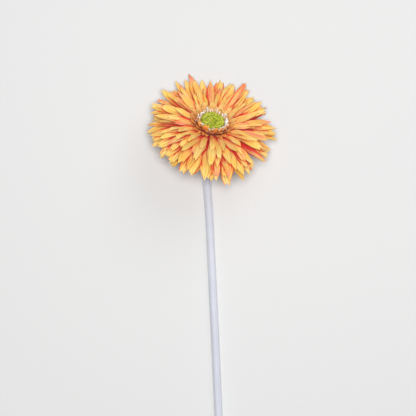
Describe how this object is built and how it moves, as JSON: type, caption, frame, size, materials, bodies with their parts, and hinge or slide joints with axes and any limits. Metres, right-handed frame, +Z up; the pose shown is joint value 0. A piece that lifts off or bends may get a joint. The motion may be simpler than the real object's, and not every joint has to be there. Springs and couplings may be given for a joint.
{
  "type": "gerbera daisy",
  "caption": "Cut gerbera daisy with a long bare stem, lying on a surface with its many-petalled head leaning back on its outer petals.",
  "frame": {"origin": "middle of the bounding box, on the surface that the flower lies on", "axes": "+Z up, +Y along the stem from its cut end to the head, +X across the flower"},
  "size_m": [0.1144, 0.3986, 0.0792],
  "materials": {
    "petal_orange_yellow": "soft satin petal",
    "floret_deep_orange": "soft satin petal",
    "stigma_cream_white": "soft matt",
    "disc_lime_green": "matt, beaded",
    "calyx_sage_green": "matt, slightly downy",
    "stem_pale_lavender": "smooth satin"
  },
  "bodies": {
    "root": {"petals": "petal_orange_yellow", "collar_florets": "floret_deep_orange", "stigmas": "stigma_cream_white", "disc": "disc_lime_green", "calyx": "calyx_sage_green", "stem": "stem_pale_lavender"}
  },
  "joints": []
}
